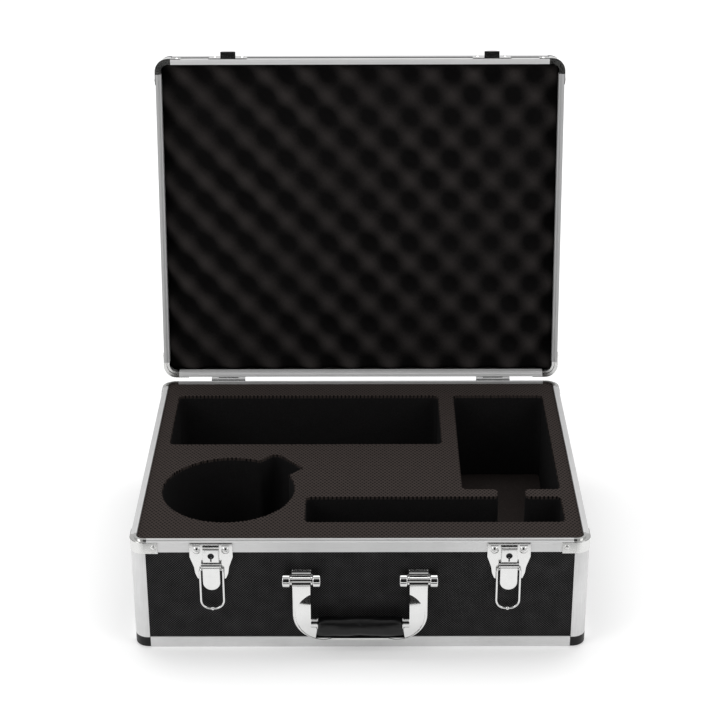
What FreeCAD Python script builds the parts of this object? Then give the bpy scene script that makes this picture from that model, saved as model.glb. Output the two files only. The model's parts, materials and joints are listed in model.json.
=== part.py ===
import FreeCAD, Part
import math
import os
import Sketcher
from FreeCAD import Placement, Rotation, Vector

# Hard-sided equipment case: laminated boards in an aluminium frame, foam insert, hinged lid.
# X runs along the front, +Y points to the hinge side, +Z is up; the origin is the middle of the
# underside. The lid is drawn closed and then swung open about the hinge pins by one Placement.

document = FreeCAD.newDocument("equipment_case")
sheet = document.addObject("Spreadsheet::Sheet", "case")

DIMENSIONS = {
    # overall body, in millimetres and degrees
    "width": 460,
    "depth": 370,
    "base_height": 123,
    "lid_height": 39,
    "split_gap": 0.5,
    "open_angle": 99.7,
    # boards and frame extrusions
    "board": 3,
    "skin": 1,
    "corner_radius": 14,
    "rim_drop": 11.2,
    "rim_width": 6,
    "ledge": 3.5,
    "tongue_rise": 1.4,
    "groove_side_play": 0.4,
    "groove_depth": 1.5,
    "slot_roof": 3,
    "rim_corner_reach": 17,
    "edge_leg": 12,
    "panel_corner": 15,
    "post_leg": 15.7,
    "cap_leg": 16.2,
    "cap_rise": 11.5,
    "cap_soft": 1.5,
    "brace_reach": 28.4,
    "brace_drop": 12.5,
    "brace_lip": 0.4,
    "brace_skin": 0.8,
    "brace_rivet_reach": 24,
    "brace_rivet_drop": 5.6,
    "brace_rivet_radius": 2.6,
    "rivet_rise": 1.2,
    # foam insert
    "foam_gap": 6.2,
    "foam_radius": 8,
    "foam_drop": 1.3,
    "foam_sheet": 3,
    "pocket_floor": 19,
    "egg_foam_setback": 11,
    "pocket_radius": 5,
    "long_left": -209,
    "long_right": 89,
    "rear_front": 213,
    "rear_back": 332,
    "tall_left": 107,
    "tall_right": 209,
    "tall_front": 111,
    "tray_left": -56,
    "tray_right": 208,
    "tray_front": 43,
    "tray_back": 94,
    "notch_left": 144,
    "notch_right": 172,
    "round_middle_across": -138,
    "round_middle_back": 111.5,
    "round_radius": 69,
    # latches
    "latch_middle": 148.5,
    "plate": 1.2,
    "plate_half": 21.5,
    "housing_half": 8.2,
    "housing_rise": 5,
    "keyhole_drop": 13,
    "keyhole_radius": 3.3,
    "keyhole_slot": 1.4,
    "keyhole_slot_drop": 19.4,
    "vent_near": 10.6,
    "vent_far": 18.4,
    "vent_high_drop": 2.5,
    "vent_low_drop": 3.7,
    "latch_rivet_radius": 4,
    "latch_rivet_drop": 8.6,
    "latch_rivet_across": 14.4,
    "latch_rivet_rise": 1.9,
    "plug_play": 0.05,
    "plug_face": 2.4,
    "lever_half": 8.7,
    "lever_pivot_out": 4.2,
    "lever_pivot_drop": 24.3,
    "lever_knuckle": 2.8,
    "lever_end_drop": 51.2,
    "lever_back": 5.2,
    "lever_front": 7,
    "latch_pin_radius": 1.5,
    "pivot_play": 0.05,
    "ear_half": 10,
    "ear": 0.9,
    "bail_half": 11.5,
    "bail_wire": 1.2,
    "bail_pivot_out": 4,
    "bail_pivot_drop": 28.6,
    "bail_end_drop": 74.2,
    "bail_corner": 9.5,
    "bail_shoulder": 2,
    "bail_stub": 7,
    "bail_nub": 2.2,
    "catch_low": 2.5,
    "catch_high": 24,
    "catch_rivet_radius": 2.8,
    "catch_rivet_rise": 18.5,
    "catch_rivet_across": 15.4,
    "nose_half": 7.5,
    "nose_low": 8,
    "nose_high": 14.3,
    "nose_out": 7.8,
    "nose_lip": 1.2,
    "nose_lip_high": 16.8,
    # carrying handle
    "handle_middle": 58.6,
    "handle_pivot_out": 9.2,
    "handle_pivot_drop": 38.4,
    "handle_pin_radius": 2.5,
    "handle_head_radius": 7.1,
    "handle_head": 8,
    "handle_head_soft": 1.3,
    "arm_half": 9,
    "arm_back": 11,
    "arm_front": 16,
    "arm_bend_out": 11,
    "arm_bend_drop": 41,
    "arm_bend_radius": 5,
    "arm_eye_radius": 4.6,
    "bow_drop": 104.5,
    "bow_corner": 30,
    "strip": 2,
    "grip_half": 42.5,
    "dish_ball": 290,
    "dish_apex_drop": 88,
    "dish_radius": 28,
    "dish_sink": 0.15,
    "dish_depth": 3.2,
    "dish_across": 37,
    "dish_drop": 76,
    "ferrule_radius": 5.5,
    "ferrule_out": 11.4,
    "ferrule_drop": 86.5,
    "ferrule_reach": 49.4,
    "collar": 1,
    "collar_radius": 7,
    "bracket_half": 11,
    "bracket_ear": 1.5,
    "bracket_eye": 5,
    "bracket_top_drop": 31.2,
    "bracket_low_drop": 43,
    "bracket_ear_drop": 41.6,
    "bead_radius": 3.4,
    "bead_out": 1.2,
    "bead_drop": 36.5,
    # hinges
    "hinge_middle": 155,
    "hinge_half": 19.6,
    "hinge_lid_half": 11.7,
    "hinge_play": 0.3,
    "hinge_pin_out": 3.2,
    "hinge_knuckle": 2.1,
    "hinge_pin_radius": 1.2,
    "hinge_leaf": 0.9,
    "hinge_leaf_drop": 25,
    "hinge_lug": 1,
    "hinge_rivet_radius": 2.6,
    "hinge_rivet_pitch": 12,
    "hinge_rivet_drop": 16,
    # rubber feet on the hinge side
    "foot_radius": 7,
    "foot_tip_radius": 5.5,
    "foot_rise": 5,
    "foot_across": 190,
    "foot_low": 28,
    "foot_high": 98,
}
for row, (name, size) in enumerate(DIMENSIONS.items(), start=1):
    sheet.set(f"A{row}", name)
    sheet.set(f"B{row}", str(size))
    sheet.setAlias(f"B{row}", name)
document.recompute()

HALF_WIDTH = "case.width/2"
HALF_DEPTH = "case.depth/2"
TOP = "case.base_height"
LID_LOW = "(case.base_height + case.split_gap)"
LID_HIGH = "(case.base_height + case.split_gap + case.lid_height)"
PIN_LEVEL = "(case.base_height + case.split_gap/2)"
PIN_BACK = "(case.depth/2 + case.hinge_pin_out)"
WALL = "(case.skin + case.board)"

parts = {}


def value(expression):
    """The number that an expression on the sheet's cells gives."""
    return float(sheet.evalExpression(str(expression)))


def bind(item, path, expression):
    item.setExpression(path, str(expression))


def lid_pose():
    """Swings a piece drawn on the closed lid to the open position."""
    centre = Vector(0, value(PIN_BACK), value(PIN_LEVEL))
    turn = Rotation(Vector(1, 0, 0), -value("case.open_angle"))
    return Placement(Vector(0, 0, 0), turn, centre)


def keep(label, item, on_lid=False):
    """Names a finished sub-part and puts it in its place."""
    item.Label = label
    if on_lid:
        item.Placement = lid_pose().multiply(item.Placement)
    parts[label] = item
    return item


def add_loop(sketch, points):
    """Draws a closed polygon whose corners are bound to cell expressions."""
    first = len(sketch.Geometry)
    corners = [Vector(value(across), value(up), 0) for across, up in points]
    for start, end in zip(corners, corners[1:] + corners[:1]):
        sketch.addGeometry(Part.LineSegment(start, end), False)
    for index, (across, up) in enumerate(points):
        line = first + index
        following = first + (index + 1) % len(points)
        sketch.addConstraint(Sketcher.Constraint("Coincident", line, 2, following, 1))
        for kind, expression in (("DistanceX", across), ("DistanceY", up)):
            rule = Sketcher.Constraint(kind, -1, 1, line, 1, value(expression))
            bind(sketch, f"Constraints[{sketch.addConstraint(rule)}]", expression)


def prism(name, plane, loops, start, length):
    """A body padded along the normal of one of its own origin planes."""
    body = document.addObject("PartDesign::Body", name)
    sketch = body.newObject("Sketcher::SketchObject", name + "_sketch")
    support = [item for item in body.Origin.OriginFeatures if item.Role == plane][0]
    sketch.AttachmentSupport = [(support, "")]
    sketch.MapMode = "FlatFace"
    bind(sketch, "AttachmentOffset.Base.z", start)
    for points in loops:
        add_loop(sketch, points)
    pad = body.newObject("PartDesign::Pad", name + "_pad")
    pad.Profile = sketch
    bind(pad, "Length", length)
    document.recompute()
    return body


def edge_names(shape, wanted):
    """The names of the edges that the test picks."""
    return [f"Edge{n}" for n, edge in enumerate(shape.Edges, start=1) if wanted(edge)]


def along(axis):
    """A test for straight edges that run along an axis."""

    def test(edge):
        ends = edge.Vertexes
        if edge.Curve.TypeId != "Part::GeomLine" or len(ends) < 2:
            return False
        direction = (ends[1].Point - ends[0].Point).normalize()
        return abs(direction.dot(axis)) > 0.999

    return test


def rounded(body, radius, wanted, name):
    """Fillets the chosen edges of a PartDesign body."""
    base = body.Tip
    fillet = body.newObject("PartDesign::Fillet", name)
    fillet.Base = (base, edge_names(base.Shape, wanted))
    bind(fillet, "Radius", radius)
    body.Tip = fillet
    document.recompute()
    return body


def box(name, corner, sizes):
    item = document.addObject("Part::Box", name)
    for key, expression in zip(("Length", "Width", "Height"), sizes):
        bind(item, key, expression)
    for key, expression in zip("xyz", corner):
        bind(item, f"Placement.Base.{key}", expression)
    return item


def cylinder(name, centre, axis, radius, length):
    """A cylinder that starts at its centre point and runs along an axis."""
    item = document.addObject("Part::Cylinder", name)
    item.Placement = Placement(Vector(0, 0, 0), Rotation(Vector(0, 0, 1), axis))
    bind(item, "Radius", radius)
    bind(item, "Height", length)
    for key, expression in zip("xyz", centre):
        bind(item, f"Placement.Base.{key}", expression)
    return item


def sphere(name, centre, radius):
    item = document.addObject("Part::Sphere", name)
    bind(item, "Radius", radius)
    for key, expression in zip("xyz", centre):
        bind(item, f"Placement.Base.{key}", expression)
    return item


def fuse(name, *items):
    item = document.addObject("Part::MultiFuse", name)
    item.Shapes = list(items)
    item.Refine = True
    document.recompute()
    return item


def cut(name, base, tool):
    item = document.addObject("Part::Cut", name)
    item.Base = base
    item.Tool = tool
    item.Refine = True
    document.recompute()
    return item


def edge_fillet(name, base, radius, wanted):
    """Fillets the chosen edges of a Part object."""
    item = document.addObject("Part::Fillet", name)
    item.Base = base
    size = value(radius)
    numbers = [n for n, edge in enumerate(base.Shape.Edges, start=1) if wanted(edge)]
    item.Edges = [(n, size, size) for n in numbers]
    document.recompute()
    return item


def group(label, shapes, on_lid=False):
    """Identical pieces kept together as separate solids of one sub-part."""
    item = document.addObject("Part::Feature", label)
    item.Shape = Part.makeCompound(list(shapes))
    return keep(label, item, on_lid)


ALONG_X = Vector(1, 0, 0)
ALONG_Y = Vector(0, 1, 0)
ALONG_Z = Vector(0, 0, 1)
TO_FRONT = Vector(0, -1, 0)


# Frame corners -------------------------------------------------------------------------------


def corner_block(name, reach, offset, radius, low, high):
    """A block in the quadrant x, y > offset with its outer upright edge rounded."""
    block = box(name, (offset, offset, low), (f"{reach} - ({offset})",) * 2 + (f"{high} - {low}",))
    document.recompute()
    near = value(offset) + 1e-6

    def outer(edge):
        here = edge.CenterOfMass
        return along(ALONG_Z)(edge) and here.x < near and here.y < near

    return edge_fillet(name + "_round", block, radius, outer)


def quarter_shell(name, reach, offset, wall, low, high):
    """An upright L with a rounded outer corner: reach along both sides, wall thick."""
    outer = corner_block(name, reach, offset, f"case.corner_radius - ({offset})", low, high)
    deep = f"({offset} + {wall})"
    inner_radius = f"case.corner_radius - {deep}"
    tall = corner_block(
        name + "_core", f"({reach} + 1)", deep, inner_radius, f"({low} - 1)", f"({high} + 1)"
    )
    return cut(name + "_shell", outer, tall)


def at_corners(shape, flipped=False):
    """Copies a front-left corner piece to the four corners, upside down for the lid's top."""
    wide, deep = value(HALF_WIDTH), value(HALF_DEPTH)
    spots = ((-wide, -deep), (wide, -deep), (wide, deep), (-wide, deep))
    copies = []
    for turn, (across, back) in enumerate(spots):
        piece = shape.copy()
        if flipped:
            piece.rotate(Vector(0, 0, 0), ALONG_X, 180)
            piece.rotate(Vector(0, 0, 0), ALONG_Z, 90)
            piece.translate(Vector(0, 0, value(TOP) + value(LID_LOW)))
        piece.rotate(Vector(0, 0, 0), ALONG_Z, 90 * turn)
        piece.translate(Vector(across, back, 0))
        copies.append(piece)
    return copies


def corner_cap():
    """A hollow plastic corner for the underside, standing on z = 0."""
    reach, rise, wall = "case.cap_leg", "case.cap_rise", "case.skin"
    block = corner_block("cap_block", reach, "0", "case.corner_radius", "0", rise)
    near = value("case.corner_radius") + 1e-3

    def underside(edge):
        here = edge.CenterOfMass
        return here.z < 1e-6 and min(here.x, here.y) < near / 2

    softened = edge_fillet("cap_soft", block, "case.cap_soft", underside)
    inner_radius = f"case.corner_radius - {wall}"
    core = corner_block("cap_core", f"({reach} + 1)", wall, inner_radius, wall, f"({rise} + 1)")
    return cut("corner_cap", softened, core)


cap_shell = corner_cap()
group("base_corner_caps", at_corners(cap_shell.Shape))

post_low = "case.cap_rise"
base_post = quarter_shell(
    "base_post", "case.post_leg", "0", "case.skin", post_low, f"({TOP} - case.rim_drop)"
)
group("base_corner_posts", at_corners(base_post.Shape))
lid_post = quarter_shell(
    "lid_post", "case.post_leg", "0", "case.skin", post_low, "(case.lid_height - case.rim_drop)"
)


def lid_corner_copies(shape):
    """Corner pieces drawn standing on the lid's top face, turned over to sit on the closed lid."""
    rise = value(LID_HIGH) - value(TOP) - value(LID_LOW)
    copies = at_corners(shape, flipped=True)
    for piece in copies:
        piece.translate(Vector(0, 0, rise))
    return copies


group("lid_corner_caps", lid_corner_copies(cap_shell.Shape), on_lid=True)
group("lid_corner_posts", lid_corner_copies(lid_post.Shape), on_lid=True)


def rim_corner(name, high, tongue):
    """The formed corner of a rim, drawn with its mating face at the given height."""
    reach, width = "case.rim_corner_reach", "case.rim_width"
    roof = f"({high} - case.slot_roof)"
    low = f"({high} - case.rim_drop)"
    pieces = [quarter_shell(name + "_skin", reach, "0", "case.skin", low, roof)]
    if tongue:
        pieces.append(quarter_shell(name + "_roof", reach, "0", width, roof, high))
        pieces.append(
            quarter_shell(
                name + "_tongue",
                reach,
                "case.ledge",
                f"({width} - case.ledge)",
                high,
                f"({high} + case.tongue_rise)",
            )
        )
    else:
        land = "(case.ledge - case.groove_side_play)"
        groove = f"({high} - case.groove_depth)"
        pieces.append(quarter_shell(name + "_roof", reach, "0", width, roof, groove))
        pieces.append(quarter_shell(name + "_land", reach, "0", land, groove, high))
    return fuse(name, *pieces)


def rim_brace(name, high):
    """The stamped plate wrapped round a rim corner, with a domed rivet on each side."""
    low = f"({high} - case.brace_drop)"
    top = f"({high} - case.brace_lip)"
    plate = quarter_shell(name, "case.brace_reach", "-case.brace_skin", "case.brace_skin", low, top)
    rivets = []
    head, rise = value("case.brace_rivet_radius"), value("case.rivet_rise")
    reach, level = value("case.brace_rivet_reach"), value(f"{high} - case.brace_rivet_drop")
    face = -value("case.brace_skin")
    for centre, outward in (
        (Vector(reach, face, level), Vector(0, -1, 0)),
        (Vector(face, reach, level), Vector(-1, 0, 0)),
    ):
        rivets.append(dome(centre, outward, head, rise))
    return Part.makeCompound([plate.Shape] + rivets)


def dome(centre, outward, radius, rise):
    """A low domed rivet head standing on a face."""
    ball = (radius * radius + rise * rise) / (2 * rise)
    middle = centre + outward * (rise - ball)
    rim_angle = math.degrees(math.asin((ball - rise) / ball))
    return Part.makeSphere(ball, middle, outward, rim_angle, 90, 360)


base_corner = rim_corner("base_rim_corner", TOP, tongue=True)
group("base_rim_corners", at_corners(base_corner.Shape))
brace_solids = [s for piece in at_corners(rim_brace("base_brace", TOP)) for s in piece.Solids]
group("base_rim_braces", brace_solids)

lid_corner = rim_corner("lid_rim_corner", "case.lid_height", tongue=False)
group("lid_rim_corners", lid_corner_copies(lid_corner.Shape), on_lid=True)
lid_brace = rim_brace("lid_brace", "case.lid_height")
lid_brace_solids = [s for piece in lid_corner_copies(lid_brace) for s in piece.Solids]
group("lid_rim_braces", lid_brace_solids, on_lid=True)


# Straight rims, edges and boards --------------------------------------------------------------

SIDES = {
    # name: (sketch plane, half size across the wall, sign of the wall, half size along it)
    "front": ("YZ_Plane", HALF_DEPTH, -1, HALF_WIDTH),
    "back": ("YZ_Plane", HALF_DEPTH, 1, HALF_WIDTH),
    "left": ("XZ_Plane", HALF_WIDTH, -1, HALF_DEPTH),
    "right": ("XZ_Plane", HALF_WIDTH, 1, HALF_DEPTH),
}


def wall_profile(side, points):
    """Turns (depth into the wall, height) points into sketch coordinates for one side."""
    plane, half, sign, run = SIDES[side]
    return [(f"{sign}*({half} - ({inward}))", up) for inward, up in points]


def straight(name, side, points, end_gap):
    """An extrusion along one side of the case, stopping short of both corners."""
    plane, half, sign, run = SIDES[side]
    length = f"2*({run} - {end_gap})"
    return prism(name, plane, [wall_profile(side, points)], f"-({run} - {end_gap})", length)


def rim_points(face, up, tongue):
    """A rim section with its mating face at one height; up is the way out of the shell."""
    width, skin, wall = "case.rim_width", "case.skin", WALL
    back = f"{face} - ({up})*case.slot_roof"
    tail = f"{face} - ({up})*case.rim_drop"
    if tongue:
        crest = f"{face} + ({up})*case.tongue_rise"
        mating = [("0", face), ("case.ledge", face), ("case.ledge", crest), (width, crest)]
    else:
        land = "case.ledge - case.groove_side_play"
        groove = f"{face} - ({up})*case.groove_depth"
        mating = [("0", face), (land, face), (land, groove), (width, groove)]
    slot = [(width, tail), (wall, tail), (wall, back), (skin, back), (skin, tail), ("0", tail)]
    return mating + slot


def edge_points(face, up):
    """An L section along the outer edge of the base or the lid."""
    leg, skin = "case.edge_leg", "case.skin"
    inner = f"{face} + ({up})*{skin}"
    far = f"{face} + ({up})*{leg}"
    return [("0", face), (leg, face), (leg, inner), (skin, inner), (skin, far), ("0", far)]


def board_points(low, high):
    return [("case.skin", low), (WALL, low), (WALL, high), ("case.skin", high)]


for side in SIDES:
    rim = straight(f"base_rim_{side}", side, rim_points(TOP, "1", True), "case.rim_corner_reach")
    keep(f"base_rim_{side}", rim)
    rim = straight(
        f"lid_rim_{side}", side, rim_points(LID_LOW, "-1", False), "case.rim_corner_reach"
    )
    keep(f"lid_rim_{side}", rim, on_lid=True)
    section = board_points("case.skin", f"{TOP} - case.slot_roof")
    board = straight(f"base_{side}_board", side, section, "case.corner_radius")
    keep(f"base_{side}_board", board)
    section = board_points(f"{LID_LOW} + case.slot_roof", f"{LID_HIGH} - case.skin")
    board = straight(f"lid_{side}_board", side, section, "case.corner_radius")
    keep(f"lid_{side}_board", board, on_lid=True)

for run, pair in (("long", ("front", "back")), ("short", ("left", "right"))):
    lower, upper = [], []
    for side in pair:
        low = straight(f"base_edge_{side}", side, edge_points("0", "1"), "case.cap_leg")
        high = straight(f"lid_edge_{side}", side, edge_points(LID_HIGH, "-1"), "case.cap_leg")
        lower.append(low.Shape)
        upper.append(high.Shape)
    group(f"base_{run}_edges", lower)
    group(f"lid_{run}_edges", upper, on_lid=True)


def rectangle(half_x, half_y):
    return [
        (f"-({half_x})", f"-({half_y})"),
        (half_x, f"-({half_y})"),
        (half_x, half_y),
        (f"-({half_x})", half_y),
    ]


def slab(name, inset, radius, low, high):
    """A flat plate inside the walls with rounded corners."""
    outline = rectangle(f"{HALF_WIDTH} - {inset}", f"{HALF_DEPTH} - {inset}")
    body = prism(name, "XY_Plane", [outline], low, f"{high} - {low}")
    return rounded(body, radius, along(ALONG_Z), name + "_corners")


def rebated_board(name, face, up):
    """The bottom or top board: its middle stands flush with the edge extrusions."""
    inner = f"({face} + ({up})*case.skin)"
    far = f"({face} + ({up})*{WALL})"
    low, high = (face, far) if up == "1" else (far, face)
    body_low, body_high = (inner, far) if up == "1" else (far, inner)
    raised = slab(name + "_face", "case.edge_leg", "case.panel_corner", low, high)
    body = slab(name + "_body", WALL, "case.corner_radius", body_low, body_high)
    return fuse(name, raised, body)


keep("base_bottom_board", rebated_board("base_bottom_board", "0", "1"))
keep("lid_top_board", rebated_board("lid_top_board", LID_HIGH, "-1"), on_lid=True)


# Foam insert ----------------------------------------------------------------------------------


def from_front(distance):
    return f"({distance} - {HALF_DEPTH})"


def pocket_loops():
    """Outlines of the pockets: a long one, one round and one that joins a tray by a notch."""
    rear, back = from_front("case.rear_front"), from_front("case.rear_back")
    long_pocket = [
        ("case.long_left", rear),
        ("case.long_right", rear),
        ("case.long_right", back),
        ("case.long_left", back),
    ]
    tray_front, tray_back = from_front("case.tray_front"), from_front("case.tray_back")
    tall_front = from_front("case.tall_front")
    joined = [
        ("case.tray_left", tray_front),
        ("case.tray_right", tray_front),
        ("case.tray_right", tray_back),
        ("case.notch_right", tray_back),
        ("case.notch_right", tall_front),
        ("case.tall_right", tall_front),
        ("case.tall_right", back),
        ("case.tall_left", back),
        ("case.tall_left", tall_front),
        ("case.notch_left", tall_front),
        ("case.notch_left", tray_back),
        ("case.tray_left", tray_back),
    ]
    return [long_pocket, joined]


def pocket_cutter(name, low, high):
    """One solid in the shape of every pocket, with rounded upright corners."""
    height = f"{high} - {low}"
    straight_pockets = prism(name, "XY_Plane", pocket_loops(), low, height)
    rounded(straight_pockets, "case.pocket_radius", along(ALONG_Z), name + "_corners")
    middle, back = "case.round_middle_across", from_front("case.round_middle_back")
    barrel = cylinder(name + "_round", (middle, back, low), ALONG_Z, "case.round_radius", height)
    spout_points = [
        (f"{middle} + 20", f"{back} + 50"),
        (f"{middle} + 43", f"{back} + 77"),
        (f"{middle} + 50", f"{back} + 76"),
        (f"{middle} + 76.5", f"{back} + 46"),
        (f"{middle} + 55", f"{back} + 25"),
    ]
    spout = prism(name + "_spout", "XY_Plane", [spout_points], low, height)
    document.recompute()
    return fuse(name + "_all", straight_pockets, barrel, spout)


FOAM_TOP = f"({TOP} - case.foam_drop)"
FOAM_JOIN = f"({TOP} - case.foam_drop - case.foam_sheet)"
PAD_LOW = f"({WALL})"
for label, low, high, pocketed in (
    ("base_foam_floor", PAD_LOW, "case.pocket_floor", False),
    ("base_foam_block", "case.pocket_floor", FOAM_JOIN, True),
    ("base_foam_top_sheet", FOAM_JOIN, FOAM_TOP, True),
):
    layer = slab(label + "_slab", "case.foam_gap", "case.foam_radius", low, high)
    if pocketed:
        cutter = pocket_cutter(label + "_pockets", f"({low} - 1)", f"({high} + 1)")
        layer = cut(label, layer, cutter)
    keep(label, layer)

egg_low = f"({LID_LOW} + case.egg_foam_setback)"
egg_foam = slab(
    "lid_egg_foam_slab", "case.foam_gap", "case.foam_radius", egg_low, f"({LID_HIGH} - {WALL})"
)
keep("lid_egg_foam", egg_foam, on_lid=True)


# Latches --------------------------------------------------------------------------------------


def ahead(out):
    """Sketch offset or -Y place of a point this far in front of the case's front face."""
    return f"({HALF_DEPTH} + ({out}))"


def front(out):
    return f"-({HALF_DEPTH} + ({out}))"


def below(drop):
    return f"({TOP} - ({drop}))"


def mirrored(points, middle):
    """A symmetrical outline from its right half, listed from top to bottom."""
    right = [(f"{middle} + ({across})", up) for across, up in points]
    left = [(f"{middle} - ({across})", up) for across, up in reversed(points)]
    return right + left


def round_front(name, item, radius, out):
    """Softens the outer edges of a pressed piece where it faces forward."""
    limit = -value(ahead(out)) + 1e-3

    def front_edge(edge):
        return all(vertex.Point.y < limit for vertex in edge.Vertexes)

    return edge_fillet(name, item, radius, front_edge)


def latch_plate(label, middle):
    """Back plate with wings, folded lip, key housing and two ears for the lever pin."""
    outline = mirrored(
        [
            ("case.plate_half", below("0.5")),
            ("case.plate_half", below("16")),
            ("17.5", below("27.5")),
            ("16.4", below("35")),
            ("14.2", below("40.6")),
            ("12", below("41.6")),
            ("10.2", below("38")),
            ("10.2", below("22")),
        ],
        middle,
    )
    base = prism(label + "_base", "XZ_Plane", [outline], ahead("0"), "case.plate")
    lip = box(
        label + "_lip",
        (f"{middle} - case.plate_half + 0.8", front("2.2"), below("2.1")),
        ("2*case.plate_half - 1.6", "2.2", "1.6"),
    )
    bar = box(
        label + "_bar",
        (f"{middle} - case.housing_half", front("case.housing_rise - 1"), below("4.9")),
        ("2*case.housing_half", "case.housing_rise - 1", "1.6"),
    )
    face = prism(
        label + "_face",
        "XZ_Plane",
        [mirrored([("case.housing_half", below("5.6")), ("case.housing_half", below("20.8"))], middle)],
        ahead("0"),
        "case.housing_rise",
    )
    document.recompute()
    housing = round_front(label + "_housing", face, "0.8", "case.housing_rise")
    ears = []
    for side in (-1, 1):
        inner = f"{middle} + {side}*case.ear_half - case.ear*{(1 + side) // 2}"
        ear = cylinder(
            f"{label}_ear_{side + 1}",
            (inner, front("case.lever_pivot_out"), below("case.lever_pivot_drop")),
            ALONG_X,
            "case.lever_knuckle",
            "case.ear",
        )
        foot = box(
            f"{label}_ear_foot_{side + 1}",
            (inner, front("case.lever_pivot_out"), below("case.lever_pivot_drop + 2.8")),
            ("case.ear", "case.lever_pivot_out", "2*case.lever_knuckle"),
        )
        ears += [ear, foot]
    web = box(
        label + "_web",
        (f"{middle} - case.plate_half/2", front("case.plate"), below("23")),
        ("case.plate_half", "case.plate", "20"),
    )
    document.recompute()
    whole = fuse(label + "_whole", base, lip, bar, housing, web, *ears)
    low = below("case.keyhole_drop")
    hole = cylinder(
        label + "_keyhole",
        (middle, front("case.plate"), low),
        TO_FRONT,
        "case.keyhole_radius",
        "case.housing_rise",
    )
    slot = box(
        label + "_keyslot",
        (
            f"{middle} - case.keyhole_slot/2",
            front("case.housing_rise + 1"),
            below("case.keyhole_slot_drop"),
        ),
        (
            "case.keyhole_slot",
            "case.housing_rise + 1 - case.plate",
            "case.keyhole_slot_drop - case.keyhole_drop",
        ),
    )
    pin_hole = cylinder(
        label + "_pin_hole",
        (f"{middle} - 12", front("case.lever_pivot_out"), below("case.lever_pivot_drop")),
        ALONG_X,
        "case.latch_pin_radius",
        "24",
    )
    vents = []
    for edge in ("-case.vent_far", "case.vent_near"):
        vent = box(
            f"{label}_vent_{len(vents)}",
            (f"{middle} + {edge}", front("case.plate + 0.5"), below("case.vent_low_drop")),
            (
                "case.vent_far - case.vent_near",
                "case.plate + 0.5",
                "case.vent_low_drop - case.vent_high_drop",
            ),
        )
        vents.append(vent)
    document.recompute()
    return cut(label, whole, fuse(label + "_tools", hole, slot, pin_hole, *vents))


def latch_lever(label, middle):
    """The tongue with its knuckle and the cheeks that carry the bail."""
    half = "case.lever_half"
    end_middle = f"(case.lever_end_drop - {half})"
    thick = "case.lever_front - case.lever_back"
    blade = box(
        label + "_blade",
        (f"{middle} - {half}", front("case.lever_front"), below(end_middle)),
        (f"2*{half}", thick, f"{end_middle} - 25.5"),
    )
    end = cylinder(
        label + "_end", (middle, front("case.lever_back"), below(end_middle)), TO_FRONT, half, thick
    )
    document.recompute()
    tongue = fuse(label + "_tongue", blade, end)
    softened = round_front(label + "_soft", tongue, "0.7", "case.lever_front")
    knuckle = cylinder(
        label + "_knuckle",
        (f"{middle} - {half}", front("case.lever_pivot_out"), below("case.lever_pivot_drop")),
        ALONG_X,
        "case.lever_knuckle",
        f"2*{half}",
    )
    cheeks = []
    for side in (-1, 1):
        start = f"{middle} + {side}*{half} - 1.2*{(1 + side) // 2}"
        cheeks.append(
            box(
                f"{label}_cheek_{side + 1}",
                (start, front("case.lever_back + 0.6"), below("32")),
                ("1.2", "case.lever_back + 0.6 - 2.1", "8"),
            )
        )
    document.recompute()
    whole = fuse(label + "_whole", softened, knuckle, *cheeks)
    pin_hole = cylinder(
        label + "_pin_hole",
        (f"{middle} - 10", front("case.lever_pivot_out"), below("case.lever_pivot_drop")),
        ALONG_X,
        "case.latch_pin_radius + case.pivot_play",
        "20",
    )
    bail_hole = cylinder(
        label + "_bail_hole",
        (f"{middle} - 10", front("case.bail_pivot_out"), below("case.bail_pivot_drop")),
        ALONG_X,
        "case.bail_wire + case.pivot_play",
        "20",
    )
    document.recompute()
    return cut(label, whole, fuse(label + "_tools", pin_hole, bail_hole))


def rod(start, end, radius):
    return Part.makeCylinder(radius, (end - start).Length, start, end - start)


def elbow(start, heading, centre, turn, radius):
    """A bend of round wire that begins at start and turns about an axis along Y."""
    section = Part.Face(Part.Wire(Part.makeCircle(radius, start, heading)))
    return section.revolve(centre, ALONG_Y, turn)


def bail_shape(middle):
    """A bent wire loop whose two ends turn inward into the lever."""
    centre = value(middle)
    back = -value(ahead("case.bail_pivot_out"))
    half, stub, wire = value("case.bail_half"), value("case.bail_stub"), value("case.bail_wire")
    shoulder, corner = value("case.bail_shoulder"), value("case.bail_corner")
    high, low = value(below("case.bail_pivot_drop")), value(below("case.bail_end_drop"))

    def at(across, up):
        return Vector(centre + across, back, up)

    foot = rod(at(corner - half, low), at(half - corner, low), wire)
    pieces = [foot.fuse(Part.makeSphere(value("case.bail_nub"), at(0, low), ALONG_X))]
    for sign in (-1, 1):
        turn_start, side_start = at(sign * (half - shoulder), high), at(sign * half, high - shoulder)
        foot_start = at(sign * half, low + corner)
        shoulder_middle = at(sign * (half - shoulder), high - shoulder)
        foot_middle = at(sign * (half - corner), low + corner)
        pieces += [
            rod(at(sign * stub, high), turn_start, wire),
            elbow(turn_start, ALONG_X * sign, shoulder_middle, sign * 90, wire),
            rod(side_start, foot_start, wire),
            elbow(foot_start, -ALONG_Z, foot_middle, sign * 90, wire),
        ]
    return pieces[0].multiFuse(pieces[1:])


def lock_plug(label, middle):
    """The keyway disc that turns behind the keyhole."""
    disc = cylinder(
        label + "_disc",
        (middle, front("case.plate + case.plug_play"), below("case.keyhole_drop")),
        TO_FRONT,
        "case.keyhole_radius - case.plug_play",
        "case.plug_face - case.plate - case.plug_play",
    )
    key = box(
        label + "_key",
        (f"{middle} - 0.4", front("case.plug_face + 0.1"), below("case.keyhole_drop + 2.2")),
        ("0.8", "0.8", "4.4"),
    )
    document.recompute()
    return cut(label, disc, key)


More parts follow.
